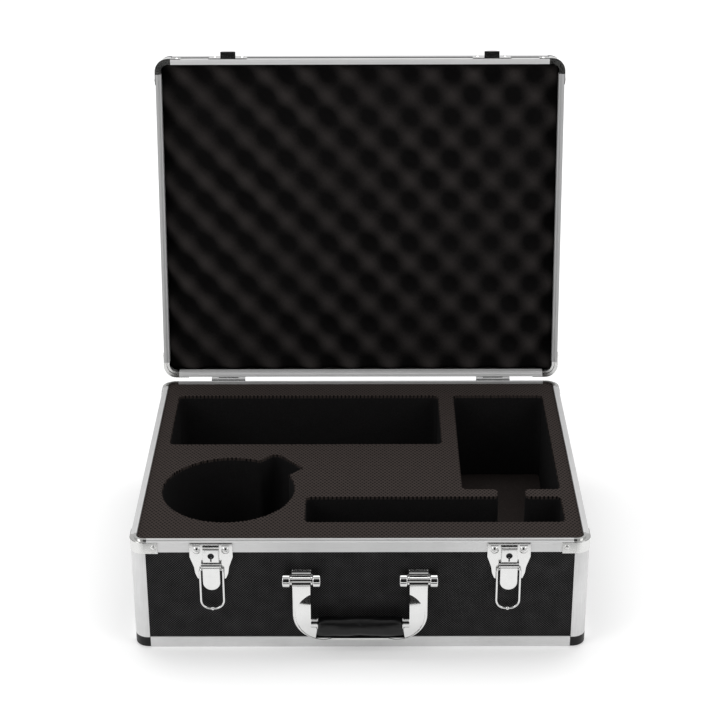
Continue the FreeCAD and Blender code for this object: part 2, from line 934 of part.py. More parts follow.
def latch_pin(middle):
    start = Vector(
        value(f"{middle} - case.ear_half"),
        -value(ahead("case.lever_pivot_out")),
        value(below("case.lever_pivot_drop")),
    )
    return Part.makeCylinder(
        value("case.latch_pin_radius"), 2 * value("case.ear_half"), start, ALONG_X
    )


def lid_catch(label, middle):
    """The hook on the lid that the bail pulls on, drawn on the closed lid."""
    low, high = f"({TOP} + case.catch_low)", f"({TOP} + case.catch_high)"
    outline = mirrored(
        [
            ("16", high),
            ("case.plate_half", f"({high} - 5)"),
            ("case.plate_half", low),
        ],
        middle,
    )
    base = prism(label + "_base", "XZ_Plane", [outline], ahead("0"), "case.plate - 0.2")
    half = "case.nose_half"
    nose_low, nose_high = f"({TOP} + case.nose_low)", f"({TOP} + case.nose_high)"
    lip_high = f"({TOP} + case.nose_lip_high)"
    nose_outline = mirrored(
        [
            (f"{half} - 3.5", nose_high),
            (f"{half} - 0.5", f"({nose_high} - 1.6)"),
            (half, f"({nose_high} - 3.4)"),
            (f"{half} + 1", nose_low),
        ],
        middle,
    )
    nose = prism(label + "_nose", "XZ_Plane", [nose_outline], ahead("0"), "case.nose_out")
    lip_outline = mirrored(
        [
            (f"{half} - 3.5", lip_high),
            (f"{half} - 1.2", f"({lip_high} - 1.6)"),
            (half, f"({nose_high} - 3.4)"),
            (f"{half} + 1", nose_low),
        ],
        middle,
    )
    lip = prism(
        label + "_lip", "XZ_Plane", [lip_outline], ahead("case.nose_out - case.nose_lip"), "case.nose_lip"
    )
    return fuse(label, base, nose, lip)


def forward_domes(drop, across, seat, radius, rise):
    """Pairs of rivet heads on the front face, either side of each latch's middle."""
    heads = []
    for middle in LATCHES.values():
        for sign in (-1, 1):
            place = value(f"{middle} + {sign}*{across}")
            centre = Vector(place, -value(ahead(seat)), value(below(drop)))
            heads.append(dome(centre, TO_FRONT, value(radius), value(rise)))
    return heads


LATCHES = {"left": "(-case.latch_middle)", "right": "case.latch_middle"}
for side, middle in LATCHES.items():
    keep(f"latch_plate_{side}", latch_plate(f"latch_plate_{side}", middle))
    keep(f"latch_lever_{side}", latch_lever(f"latch_lever_{side}", middle))
    group(f"latch_bail_{side}", [bail_shape(middle)])
    keep(f"latch_lock_plug_{side}", lock_plug(f"latch_lock_plug_{side}", middle))
    keep(f"lid_catch_{side}", lid_catch(f"lid_catch_{side}", middle), on_lid=True)
group("latch_pins", [latch_pin(middle) for middle in LATCHES.values()])
plate_rivets = forward_domes(
    "case.latch_rivet_drop",
    "case.latch_rivet_across",
    "case.plate",
    "case.latch_rivet_radius",
    "case.latch_rivet_rise",
)
group("latch_rivets", plate_rivets)
catch_rivets = forward_domes(
    "-case.catch_rivet_rise",
    "case.catch_rivet_across",
    "case.plate - 0.2",
    "case.catch_rivet_radius",
    "case.rivet_rise",
)
group("lid_catch_rivets", catch_rivets, on_lid=True)


# Carrying handle ------------------------------------------------------------------------------

HANDLE_SIDES = {"left": -1, "right": 1}
PIVOT_Y = front("case.handle_pivot_out")
PIVOT_Z = below("case.handle_pivot_drop")


def x_rod(name, middle, half, out, drop, radius):
    """A round piece lying along X, centred on a middle."""
    return cylinder(name, (f"{middle} - {half}", front(out), below(drop)), ALONG_X, radius, f"2*{half}")


def bow_dish(label, across):
    """What a round, gently domed press mark takes off the front of the bow."""
    low = below("case.dish_drop")
    bottom = front("case.arm_front - case.dish_depth")
    drum = cylinder(
        label + "_drum", (across, bottom, low), TO_FRONT, "case.dish_radius", "case.dish_depth + 1"
    )
    middle = front("case.arm_front - case.dish_sink - case.dish_ball")
    ball = sphere(
        label + "_ball", (across, middle, below("case.dish_apex_drop")), "case.dish_ball"
    )
    document.recompute()
    return cut(label, drum, ball)


def handle_bow():
    """The pressed bow: two arms, rounded corners, and a strip that passes under the grip."""
    middle, arm = "case.handle_middle", "case.arm_half"
    outline = mirrored(
        [
            (f"{middle} + {arm}", below("case.arm_bend_drop")),
            (f"{middle} + {arm}", below("case.bow_drop")),
        ],
        "0",
    )
    opening = mirrored(
        [
            (f"{middle} - {arm}", below("case.arm_bend_drop - 1")),
            (f"{middle} - {arm}", below("80")),
            ("47.6", below("87")),
            ("43.4", below("91.5")),
            ("45", below("case.bow_drop - case.strip")),
        ],
        "0",
    )
    depth = "case.arm_front - case.arm_back"
    plate = prism("bow_plate", "XZ_Plane", [outline], ahead("case.arm_back"), depth)
    foot = value(below("case.bow_drop")) + 1e-6

    def low_corner(edge):
        return along(ALONG_Y)(edge) and edge.CenterOfMass.z < foot

    rounded(plate, "case.bow_corner", low_corner, "bow_corners")
    window = prism(
        "bow_window", "XZ_Plane", [opening], ahead("case.arm_back - 1"), f"{depth} + 2"
    )
    sheet_bow = cut("bow_sheet", plate, window)
    face = -value(ahead("case.arm_front")) + 1e-3
    outer_edge = value(f"{middle} - {arm}") + 1

    def outside(edge):
        here = edge.CenterOfMass
        on_face = all(vertex.Point.y < face for vertex in edge.Vertexes)
        return on_face and (here.z < foot or abs(here.x) > outer_edge and here.z < 81.9)

    soft = edge_fillet("bow_soft", sheet_bow, "0.9", outside)
    pieces, tools = [soft], []
    for side, sign in HANDLE_SIDES.items():
        spot = f"({sign}*{middle})"
        eye = x_rod(
            f"bow_eye_{side}",
            spot,
            arm,
            "case.handle_pivot_out",
            "case.handle_pivot_drop",
            "case.arm_eye_radius",
        )
        bend = x_rod(
            f"bow_bend_{side}",
            spot,
            arm,
            "case.arm_bend_out",
            "case.arm_bend_drop",
            "case.arm_bend_radius",
        )
        pieces += [eye, bend]
        dish = bow_dish(f"bow_dish_{side}", f"{sign}*case.dish_across")
        bore = x_rod(
            f"bow_bore_{side}",
            spot,
            f"({arm} + 1)",
            "case.handle_pivot_out",
            "case.handle_pivot_drop",
            "(case.handle_pin_radius + case.pivot_play)",
        )
        tools += [dish, bore]
    document.recompute()
    whole = fuse("bow_whole", *pieces)
    return cut("handle_bow", whole, fuse("bow_tools", *tools))


def handle_bracket(label, spot):
    """Foot plate on the board with a rolled bead and two ears that hold the pin."""
    half, ear = "case.bracket_half", "case.bracket_ear"
    plate = box(
        label + "_foot",
        (f"{spot} - {half}", front("0.8"), below("case.bracket_low_drop")),
        (f"2*{half}", "case.skin + 0.8", "case.bracket_low_drop - case.bracket_top_drop"),
    )
    bead = x_rod(label + "_bead", spot, half, "case.bead_out", "case.bead_drop", "case.bead_radius")
    back = box(
        label + "_bead_back",
        (f"{spot} - {half}", front("0.8"), below("case.bead_drop + case.bead_radius")),
        (f"2*{half}", "case.skin + 0.8", "2*case.bead_radius"),
    )
    clear = box(
        label + "_board_side",
        (f"{spot} - {half} - 1", front("-case.skin"), below("case.bracket_low_drop + 1")),
        (f"2*{half} + 2", "20", "40"),
    )
    pieces = [plate, bead, back]
    for sign in (-1, 1):
        start = f"{spot} + {sign}*{half} - {ear}*{(1 + sign) // 2}"
        pieces.append(
            box(
                f"{label}_ear_{sign + 1}",
                (start, PIVOT_Y, below("case.bracket_ear_drop")),
                (ear, "case.handle_pivot_out + case.skin", "case.bracket_ear_drop - case.bracket_top_drop"),
            )
        )
        eye = cylinder(
            f"{label}_eye_{sign + 1}", (start, PIVOT_Y, PIVOT_Z), ALONG_X, "case.bracket_eye", ear
        )
        pieces.append(eye)
    document.recompute()
    whole = fuse(label + "_whole", *pieces)
    bore = x_rod(
        label + "_bore",
        spot,
        f"({half} + 1)",
        "case.handle_pivot_out",
        "case.handle_pivot_drop",
        "case.handle_pin_radius",
    )
    return cut(label, whole, fuse(label + "_tools", bore, clear))


def is_round(edge):
    return edge.Curve.TypeId == "Part::GeomCircle"


def handle_pin(label, spot):
    """The hinge rod with a large rounded head at each end, outside the bracket's ears."""
    reach = "(case.bracket_half + 0.2)"
    rod = x_rod(
        label + "_rod",
        spot,
        reach,
        "case.handle_pivot_out",
        "case.handle_pivot_drop",
        "case.handle_pin_radius",
    )
    heads = []
    for sign in (-1, 1):
        start = f"{spot} + {sign}*{reach} - case.handle_head*{(1 - sign) // 2}"
        head = cylinder(
            f"{label}_head_{sign + 1}",
            (start, PIVOT_Y, PIVOT_Z),
            ALONG_X,
            "case.handle_head_radius",
            "case.handle_head",
        )
        document.recompute()
        heads.append(edge_fillet(f"{label}_soft_{sign + 1}", head, "case.handle_head_soft", is_round))
    return fuse(label, rod, *heads)


def ferrule(sign):
    """A plated sleeve and collar where the grip enters the bow."""
    reach, inner = value("case.ferrule_reach"), value("case.grip_half")
    centre = Vector(0, -value(ahead("case.ferrule_out")), value(below("case.ferrule_drop")))
    sleeve_start = centre + ALONG_X * (sign * inner)
    sleeve = Part.makeCylinder(
        value("case.ferrule_radius"), reach - inner, sleeve_start, ALONG_X * sign
    )
    collar = Part.makeCylinder(
        value("case.collar_radius"), value("case.collar"), sleeve_start, ALONG_X * sign
    )
    return sleeve.fuse(collar).removeSplitter()


keep("handle_bow", handle_bow())
for side, sign in HANDLE_SIDES.items():
    spot = f"({sign}*case.handle_middle)"
    keep(f"handle_bracket_{side}", handle_bracket(f"handle_bracket_{side}", spot))
    keep(f"handle_pin_{side}", handle_pin(f"handle_pin_{side}", spot))
bow_shape = parts["handle_bow"].Shape
group("handle_ferrules", [ferrule(sign).cut(bow_shape) for sign in HANDLE_SIDES.values()])

GRIP_SECTION = [
    (front("5"), below("80.2")),
    (front("2"), below("85")),
    (front("2"), below("96.5")),
    (front("6.5"), below("102.2")),
    (front("15.5"), below("102.2")),
    (front("20.5"), below("96.5")),
    (front("20.5"), below("86")),
    (front("15.5"), below("80.2")),
]
grip = prism("handle_grip", "YZ_Plane", [GRIP_SECTION], "-case.grip_half", "2*case.grip_half")
keep("handle_grip", grip)


# Hinges and feet ------------------------------------------------------------------------------


def hinge_leaf(name, middle, up, spans):
    """A leaf on the back wall with lugs that carry its knuckles; up is the leaf's way."""
    lug = f"{up}*case.hinge_lug"
    leaf_start = PIN_LEVEL if up == 1 else f"({PIN_LEVEL} - case.hinge_leaf_drop)"
    leaf = box(
        name,
        (f"{middle} - case.hinge_half", HALF_DEPTH, f"{leaf_start} + {lug}"),
        ("2*case.hinge_half", "case.hinge_leaf", "case.hinge_leaf_drop"),
    )
    pieces = [leaf]
    for count, (start, end) in enumerate(spans):
        level = PIN_LEVEL if up == 1 else f"({PIN_LEVEL} - case.hinge_knuckle)"
        pieces.append(
            box(
                f"{name}_lug_{count}",
                (f"{middle} + {start}", HALF_DEPTH, f"{level} + {lug}*{(1 + up) // 2}"),
                (f"{end} - ({start})", "case.hinge_pin_out", "case.hinge_knuckle - case.hinge_lug"),
            )
        )
        pieces.append(
            cylinder(
                f"{name}_knuckle_{count}",
                (f"{middle} + {start}", PIN_BACK, PIN_LEVEL),
                ALONG_X,
                "case.hinge_knuckle",
                f"{end} - ({start})",
            )
        )
    radius = "case.hinge_pin_radius" if up == -1 else "(case.hinge_pin_radius + case.pivot_play)"
    bore = cylinder(
        name + "_bore",
        (f"{middle} - case.hinge_half - 1", PIN_BACK, PIN_LEVEL),
        ALONG_X,
        radius,
        "2*case.hinge_half + 2",
    )
    document.recompute()
    return cut(name + "_bored", fuse(name + "_whole", *pieces), bore).Shape


def hinge_rivets(middle, level):
    """Three rivet heads in a row on one leaf."""
    heads = []
    for step in (-1, 0, 1):
        across = value(f"{middle} + {step}*case.hinge_rivet_pitch")
        centre = Vector(across, value(f"{HALF_DEPTH} + case.hinge_leaf"), value(level))
        head = dome(centre, ALONG_Y, value("case.hinge_rivet_radius"), value("case.rivet_rise"))
        heads.append(head)
    return heads


HINGES = ("(-case.hinge_middle)", "case.hinge_middle")
inner_span = ("-case.hinge_lid_half", "case.hinge_lid_half")
outer_spans = (
    ("-case.hinge_half", "-(case.hinge_lid_half + case.hinge_play)"),
    ("(case.hinge_lid_half + case.hinge_play)", "case.hinge_half"),
)
base_leaves, lid_leaves, hinge_pins = [], [], []
for number, middle in enumerate(HINGES):
    base_leaves.append(hinge_leaf(f"base_leaf_{number}", middle, -1, outer_spans))
    base_leaves += hinge_rivets(middle, f"{PIN_LEVEL} - case.hinge_rivet_drop")
    lid_leaves.append(hinge_leaf(f"lid_leaf_{number}", middle, 1, (inner_span,)))
    lid_leaves += hinge_rivets(middle, f"{PIN_LEVEL} + case.hinge_rivet_drop")
    start = Vector(value(f"{middle} - case.hinge_half"), value(PIN_BACK), value(PIN_LEVEL))
    length = value("2*case.hinge_half")
    hinge_pins.append(Part.makeCylinder(value("case.hinge_pin_radius"), length, start, ALONG_X))
group("hinge_base_leaves", base_leaves)
group("hinge_lid_leaves", lid_leaves, on_lid=True)
group("hinge_pins", hinge_pins)

feet = []
for across in (-1, 1):
    for level in ("case.foot_low", "case.foot_high"):
        place = across * value("case.foot_across")
        centre = Vector(place, value(f"{HALF_DEPTH} - case.skin"), value(level))
        height = value("case.foot_rise + case.skin")
        tip_radius = value("case.foot_tip_radius")
        feet.append(Part.makeCone(value("case.foot_radius"), tip_radius, height, centre, ALONG_Y))
group("back_feet", feet)


# Checks and export ----------------------------------------------------------------------------

document.recompute()
for item in document.Objects:
    if "Invalid" in item.State or "Error" in item.State:
        raise RuntimeError(f"{item.Label} did not compute: {item.State}")
for label, item in parts.items():
    if item.Shape.isNull() or not item.Shape.isValid():
        raise RuntimeError(f"{label} has no valid shape")
    if not item.Shape.Solids:
        raise RuntimeError(f"{label} has no solid")

os.makedirs("parts", exist_ok=True)
for label, item in parts.items():
    item.Shape.exportStep(f"parts/{label}.step")
print(len(parts), "sub-parts")
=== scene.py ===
"""Equipment case: boards in an aluminium frame, foam insert, hinged lid, latches and drop handle.

Everything is in metres, in the CAD frame: X along the front, +Y towards the hinges, +Z up. Lid
pieces are worked out with the lid closed and then swung to rest by OPENING.
"""
import json
import math
import random

import bmesh
import bpy
from mathutils import Matrix, Vector, noise

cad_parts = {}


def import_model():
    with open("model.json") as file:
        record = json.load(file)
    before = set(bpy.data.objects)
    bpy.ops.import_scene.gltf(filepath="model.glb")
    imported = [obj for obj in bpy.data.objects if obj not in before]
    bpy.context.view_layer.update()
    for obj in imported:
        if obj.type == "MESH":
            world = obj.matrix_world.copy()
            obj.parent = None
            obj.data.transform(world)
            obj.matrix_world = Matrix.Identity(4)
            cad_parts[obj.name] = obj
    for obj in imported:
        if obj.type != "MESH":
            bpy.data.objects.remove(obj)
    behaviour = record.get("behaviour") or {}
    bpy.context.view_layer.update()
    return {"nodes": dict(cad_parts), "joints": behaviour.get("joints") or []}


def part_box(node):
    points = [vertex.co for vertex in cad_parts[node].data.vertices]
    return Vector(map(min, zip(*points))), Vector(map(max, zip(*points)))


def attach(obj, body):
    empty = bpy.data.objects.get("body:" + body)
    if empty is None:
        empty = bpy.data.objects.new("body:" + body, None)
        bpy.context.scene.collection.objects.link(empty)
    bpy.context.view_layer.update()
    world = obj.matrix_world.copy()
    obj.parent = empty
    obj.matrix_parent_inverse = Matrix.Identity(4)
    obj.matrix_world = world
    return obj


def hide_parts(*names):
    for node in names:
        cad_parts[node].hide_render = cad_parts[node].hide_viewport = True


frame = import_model()
NODES = frame["nodes"]
MM = 0.001


# The lid's swing ------------------------------------------------------------------------------

LID_HINGE = next(joint for joint in frame["joints"] if joint["name"] == "lid_hinge")
HINGE_LINE = Vector(LID_HINGE["pos_m"])
OPEN_ANGLE = math.radians(LID_HINGE["range_deg"][1])
OPENING = (
    Matrix.Translation(HINGE_LINE)
    @ Matrix.Rotation(-OPEN_ANGLE, 4, "X")
    @ Matrix.Translation(-HINGE_LINE)
)
CLOSING = OPENING.inverted()


def closed_box(name):
    """The lowest and highest corners of a lid node with the lid closed."""
    points = [CLOSING @ vertex.co for vertex in NODES[name].data.vertices]
    low = Vector([min(point[axis] for point in points) for axis in range(3)])
    high = Vector([max(point[axis] for point in points) for axis in range(3)])
    return low, high


# Node materials -------------------------------------------------------------------------------

class Paint:
    """One material's node tree, with short calls for the nodes that this scene uses."""

    def __init__(self, name, on_lid=False):
        self.material = bpy.data.materials.new(name)
        self.material.use_nodes = True
        self.tree = self.material.node_tree
        self.shader = self.tree.nodes["Principled BSDF"]
        place = self.add("ShaderNodeTexCoord").outputs["Object"]
        if on_lid:
            turn = self.add("ShaderNodeVectorRotate", Center=HINGE_LINE, Angle=OPEN_ANGLE)
            turn.rotation_type = "X_AXIS"
            self.link(place, turn.inputs["Vector"])
            place = turn.outputs["Vector"]
        self.place = place

    def add(self, kind, **inputs):
        node = self.tree.nodes.new(kind)
        for name, value in inputs.items():
            node.inputs[name.replace("_", " ")].default_value = value
        return node

    def link(self, output, socket):
        self.tree.links.new(output, socket)

    def stretched(self, scale):
        """The place, scaled by a different amount along each axis."""
        node = self.add("ShaderNodeVectorMath")
        node.operation = "MULTIPLY"
        node.inputs[1].default_value = scale
        self.link(self.place, node.inputs[0])
        return node.outputs["Vector"]

    def noise(self, scale, detail=2.0, roughness=0.5, vector=None):
        node = self.add("ShaderNodeTexNoise", Scale=scale, Detail=detail, Roughness=roughness)
        self.link(vector or self.place, node.inputs["Vector"])
        return node.outputs["Fac"]

    def cells(self, scale, feature="F1", vector=None):
        node = self.add("ShaderNodeTexVoronoi", Scale=scale)
        node.feature = feature
        self.link(vector or self.place, node.inputs["Vector"])
        return node.outputs["Distance"]

    def math(self, operation, first, second=None):
        node = self.add("ShaderNodeMath")
        node.operation = operation
        for socket, value in zip(node.inputs, (first, second)):
            if isinstance(value, (int, float)):
                socket.default_value = value
            elif value is not None:
                self.link(value, socket)
        return node.outputs["Value"]

    def ramp(self, factor, low, high, dark, light):
        """A colour or grey that runs from dark at low to light at high."""
        node = self.add("ShaderNodeMapRange")
        node.inputs["From Min"].default_value = low
        node.inputs["From Max"].default_value = high
        self.link(factor, node.inputs["Value"])
        if isinstance(dark, (int, float)):
            node.inputs["To Min"].default_value = dark
            node.inputs["To Max"].default_value = light
            return node.outputs["Result"]
        mix = self.add("ShaderNodeMix")
        mix.data_type = "RGBA"
        self.link(node.outputs["Result"], mix.inputs["Factor"])
        for socket in mix.inputs:
            if socket.type == "RGBA":
                socket.default_value = (*(dark if socket.name == "A" else light), 1)
        return next(socket for socket in mix.outputs if socket.type == "RGBA")

    def dots(self, pitches, plane):
        """A staggered lattice, each pitch along its axis: 1 at the dots, -1 between them."""
        wave = self.add("ShaderNodeVectorMath")
        wave.operation = "COSINE"
        turns = {axis: 2 * math.pi / pitch for axis, pitch in zip(plane, pitches)}
        self.link(self.stretched([turns.get(axis, 0) for axis in "XYZ"]), wave.inputs[0])
        split = self.add("ShaderNodeSeparateXYZ")
        self.link(wave.outputs["Vector"], split.inputs[0])
        return self.math("MULTIPLY", split.outputs[plane[0]], split.outputs[plane[1]])

    def colour(self, value):
        if isinstance(value, tuple):
            self.shader.inputs["Base Color"].default_value = (*value, 1)
        else:
            self.link(value, self.shader.inputs["Base Color"])

    def roughness(self, value):
        if isinstance(value, (int, float)):
            self.shader.inputs["Roughness"].default_value = value
        else:
            self.link(value, self.shader.inputs["Roughness"])

    def metal(self, share=1.0):
        self.shader.inputs["Metallic"].default_value = share

    def shine(self, level):
        self.shader.inputs["Specular IOR Level"].default_value = level

    def bump(self, height, depth, strength=1.0):
        node = self.add("ShaderNodeBump", Strength=strength, Distance=depth)
        self.link(height, node.inputs["Height"])
        earlier = self.shader.inputs["Normal"]
        if earlier.is_linked:
            self.link(earlier.links[0].from_socket, node.inputs["Normal"])
        self.link(node.outputs["Normal"], earlier)


PLANES = {"front": "XZ", "back": "XZ", "left": "YZ", "right": "YZ", "top": "XY", "bottom": "XY"}
LAMINATE_DOT_PITCHES = (2.7 * MM, 2.7 * MM)
FOAM_DOT_PITCHES = (4.4 * MM, 6.2 * MM)


def laminate(side, on_lid):
    """Black laminate pressed with a diamond lattice of small raised dots."""
    paint = Paint(f"laminate_{side}_{'lid' if on_lid else 'base'}", on_lid)
    dots = paint.dots(LAMINATE_DOT_PITCHES, PLANES[side])
    wear = paint.noise(60, detail=4)
    # The raised dots are painted far lighter than the black between them: a painted highlight on
    # each dot, over the real raised pattern that the bump gives. The noise adds random tone.
    shade = paint.math("ADD", dots, paint.ramp(wear, 0.3, 0.7, -0.15, 0.15))
    paint.colour(paint.ramp(shade, 0.1, 0.6, (0.0006, 0.0006, 0.0007), (0.058, 0.057, 0.058)))
    paint.roughness(paint.ramp(shade, -0.5, 0.9, 0.5, 0.34))
    paint.shine(0.07)
    paint.bump(paint.ramp(dots, 0.0, 0.9, 0.0, 1.0), 0.12 * MM, 0.8)
    return paint.material


# One anodised aluminium in three grey pairs. The lid's greys are painted lighter, as painted light
# on the open lid's rim and edges. The lid's sides along Y are painted darker, as painted shade.
BASE_GREYS = ((0.58,) * 3, (0.74,) * 3)
LID_GREYS_PAINTED_LIGHT = ((0.68,) * 3, (0.80,) * 3)
LID_SIDE_GREYS_PAINTED_SHADE = ((0.46,) * 3, (0.56,) * 3)


def satin_aluminium(along, on_lid=False):
    """Anodised extrusion: fine lines along its length and a soft satin sheen."""
    paint = Paint(f"satin_aluminium_{along}_{'lid' if on_lid else 'base'}", on_lid)
    paint.metal(0.3 if on_lid else 0.5)
    dark, light = BASE_GREYS
    # The lid's pieces take the painted lighter greys, and its sides the painted shade.
    if on_lid:
        dark, light = LID_SIDE_GREYS_PAINTED_SHADE if along == "Y" else LID_GREYS_PAINTED_LIGHT
    scale = [4200.0 if axis != along else 25.0 for axis in "XYZ"]
    lines = paint.noise(1.0, detail=3, roughness=0.6, vector=paint.stretched(scale))
    cloud = paint.noise(35, detail=3)
    both = paint.math("ADD", lines, paint.math("MULTIPLY", cloud, 0.6))
    paint.colour(paint.ramp(both, 0.5, 1.1, dark, light))
    paint.roughness(paint.ramp(both, 0.5, 1.1, 0.48, 0.36))
    paint.bump(lines, 0.02 * MM, 0.35)
    return paint.material


def plated(name, colour, dull, on_lid=False):
    """Bright plated steel: nearly smooth, with slight ripples and a few dull patches."""
    paint = Paint(name, on_lid)
    paint.metal()
    smear = paint.noise(90, detail=5, roughness=0.65)
    shade = tuple(channel * 0.93 for channel in colour)
    paint.colour(paint.ramp(smear, 0.3, 0.7, shade, colour))
    paint.roughness(paint.ramp(smear, 0.35, 0.75, dull, dull + 0.08))
    paint.bump(smear, 0.01 * MM, 0.1)
    return paint.material


def turned_steel(name, colour, on_lid=False):
    """Plain steel of pins and plugs, with fine turning marks and darker patches."""
    paint = Paint(name, on_lid)
    paint.metal()
    marks = paint.noise(900, detail=4)
    shade = tuple(channel * 0.7 for channel in colour)
    paint.colour(paint.ramp(marks, 0.3, 0.7, shade, colour))
    paint.roughness(paint.ramp(marks, 0.3, 0.7, 0.28, 0.45))
    paint.bump(marks, 0.03 * MM, 0.3)
    return paint.material


def moulded_plastic(name, on_lid=False):
    """Black moulded corner plastic with a fine spark-eroded grain."""
    paint = Paint(name, on_lid)
    grain = paint.noise(2600, detail=3)
    paint.colour(paint.ramp(grain, 0.35, 0.65, (0.003, 0.003, 0.0035), (0.007, 0.007, 0.0075)))
    paint.roughness(paint.ramp(grain, 0.3, 0.7, 0.30, 0.44))
    paint.shine(0.25)
    paint.bump(grain, 0.04 * MM, 0.4)
    return paint.material


def rubber():
    """Soft black rubber, dull and slightly dusty."""
    paint = Paint("foot_rubber")
    dust = paint.noise(420, detail=5)
    paint.colour(paint.ramp(dust, 0.35, 0.75, (0.012, 0.012, 0.012), (0.035, 0.034, 0.033)))
    paint.roughness(paint.ramp(dust, 0.3, 0.7, 0.6, 0.8))
    paint.bump(dust, 0.08 * MM, 0.4)
    return paint.material


def dotted_foam():
    """The insert's top sheet: charcoal foam pressed with small cells."""
    paint = Paint("dotted_foam")
    dots = paint.dots(FOAM_DOT_PITCHES, "XY")
    fleck = paint.noise(1500, detail=3)
    # The pressed dots are painted much darker than the foam between them: painted shade in the
    # dimples, over the real pressed pattern that the bump gives. The fleck adds random tone.
    shade = paint.math("ADD", dots, paint.ramp(fleck, 0.3, 0.7, -0.3, 0.3))
    paint.colour(paint.ramp(shade, 0.0, 0.6, (0.041, 0.032, 0.029), (0.0035, 0.003, 0.0028)))
    paint.roughness(paint.ramp(fleck, 0.3, 0.7, 0.8, 0.95))
    paint.shine(0.12)
    paint.bump(paint.math("MULTIPLY", paint.ramp(dots, 0.0, 0.9, 0.0, 1.0), -1.0), 0.35 * MM, 0.8)
    paint.bump(fleck, 0.10 * MM, 0.5)
    return paint.material


def cut_foam(name, dark, light, on_lid=False, grain=1300, depth=0.25 * MM):
    """Cut foam: open cells that scatter the light, with no shine."""
    paint = Paint(name, on_lid)
    pores = paint.cells(grain)
    mottle = paint.noise(300, detail=4)
    shade = paint.math("ADD", pores, paint.math("MULTIPLY", mottle, 0.5))
    paint.colour(paint.ramp(shade, 0.25, 1.1, dark, light))
    paint.roughness(paint.ramp(mottle, 0.3, 0.7, 0.85, 0.97))
    paint.bump(pores, depth, 0.6)
    paint.shine(0.15)
    return paint.material


def egg_foam():
    """Convoluted foam: open cells, and painted shade that darkens the colour towards the hollows.
    """
    paint = Paint("egg_foam", on_lid=True)
    hollow_shade = paint.add("ShaderNodeAttribute")
    hollow_shade.attribute_name = "hollow_shade"
    pores = paint.cells(1100)
    mottle = paint.noise(420, detail=4)
    speck = paint.math("MULTIPLY", paint.math("ADD", pores, mottle), 0.22)
    # Painted shade: the deeper a point lies behind the crests, the darker its colour.
    shade = paint.math("ADD", hollow_shade.outputs["Fac"], speck)
    paint.colour(paint.ramp(shade, 0.15, 1.0, (0.028, 0.0245, 0.0235), (0.0035, 0.0032, 0.0032)))
    paint.roughness(paint.ramp(mottle, 0.3, 0.7, 0.88, 0.98))
    paint.bump(pores, 0.3 * MM, 0.7)
    paint.shine(0.1)
    return paint.material


def leather():
    """Black coated leather of the grip: fine pebbled grain, soft sheen."""
    paint = Paint("grip_leather")
    grain = paint.cells(1100, feature="SMOOTH_F1")
    mottle = paint.noise(160, detail=4)
    paint.colour(paint.ramp(mottle, 0.3, 0.7, (0.0015, 0.0015, 0.0017), (0.004, 0.004, 0.0042)))
    paint.roughness(paint.ramp(grain, 0.0, 0.7, 0.26, 0.4))
    paint.shine(0.3)
    paint.bump(grain, 0.10 * MM, 0.45)
    return paint.material


# Carried-over parts ---------------------------------------------------------------------------

CHROME = (0.72, 0.72, 0.715)
NICKEL = (0.70, 0.70, 0.69)
STEEL = (0.62, 0.62, 0.62)
# Near-black steel for the lock plug: painted shade inside the keyhole.
PLUG_SHADE_STEEL = (0.045, 0.045, 0.047)
LATCH_CHROME = plated("latch_chrome", CHROME, 0.07)
HANDLE_CHROME = plated("handle_chrome", CHROME, 0.05)
CATCH_CHROME = plated("catch_chrome", CHROME, 0.07, on_lid=True)
BASE_NICKEL = plated("base_nickel", NICKEL, 0.14)
LID_NICKEL = plated("lid_nickel", NICKEL, 0.14, on_lid=True)
HINGE_STEEL = turned_steel("hinge_steel", STEEL)
LID_HINGE_STEEL = turned_steel("lid_hinge_steel", STEEL, on_lid=True)
# The lock plug's material, near-black as painted shade in the keyhole.
LOCK_STEEL = turned_steel("lock_steel", PLUG_SHADE_STEEL)
BASE_PLASTIC = moulded_plastic("base_corner_plastic")
LID_PLASTIC = moulded_plastic("lid_corner_plastic", on_lid=True)
# One cut foam in two shades: the pocket walls are painted darker, as painted shade, and the floor
# pad lighter and warmer, as painted light falling from above.
WALL_FOAM = cut_foam("wall_foam", (0.003, 0.003, 0.0033), (0.012, 0.0113, 0.0115))
FLOOR_FOAM = cut_foam("floor_foam", (0.012, 0.009, 0.008), (0.034, 0.027, 0.025))
EGG_FOAM = egg_foam()
TOP_FOAM = dotted_foam()
LEATHER = leather()
RUBBER = rubber()

FRAME_RUNS = {"front": "X", "back": "X", "left": "Y", "right": "Y"}


def finish_for(name):
    """The material of a carried-over node, from the words in its name."""
    on_lid = name.startswith("lid_") or name == "hinge_lid_leaves"
    words = name.split("_")
    if words[-1] == "board":
        return laminate(words[1], on_lid)
    if words[1:2] == ["rim"] and words[2] in FRAME_RUNS:
        return satin_aluminium(FRAME_RUNS[words[2]], on_lid)
    if "rim_corners" in name or "rim_braces" in name:
        return LID_NICKEL if on_lid else BASE_NICKEL
    if "long_edges" in name:
        return satin_aluminium("X", on_lid)
    if "short_edges" in name:
        return satin_aluminium("Y", on_lid)
    if "corner_posts" in name:
        return satin_aluminium("Z", on_lid)
    if "corner_caps" in name:
        return LID_PLASTIC if on_lid else BASE_PLASTIC
    if name.startswith("hinge_"):
        return LID_HINGE_STEEL if on_lid else HINGE_STEEL
    if "lock_plug" in name:
        return LOCK_STEEL
    if name.startswith("lid_catch"):
        return CATCH_CHROME
    if name.startswith("latch_"):
        return LATCH_CHROME
    if name.startswith("handle_"):
        return HANDLE_CHROME
    if name == "back_feet":
        return RUBBER
    return WALL_FOAM  # only the foam nodes, each of which has a stand-in below


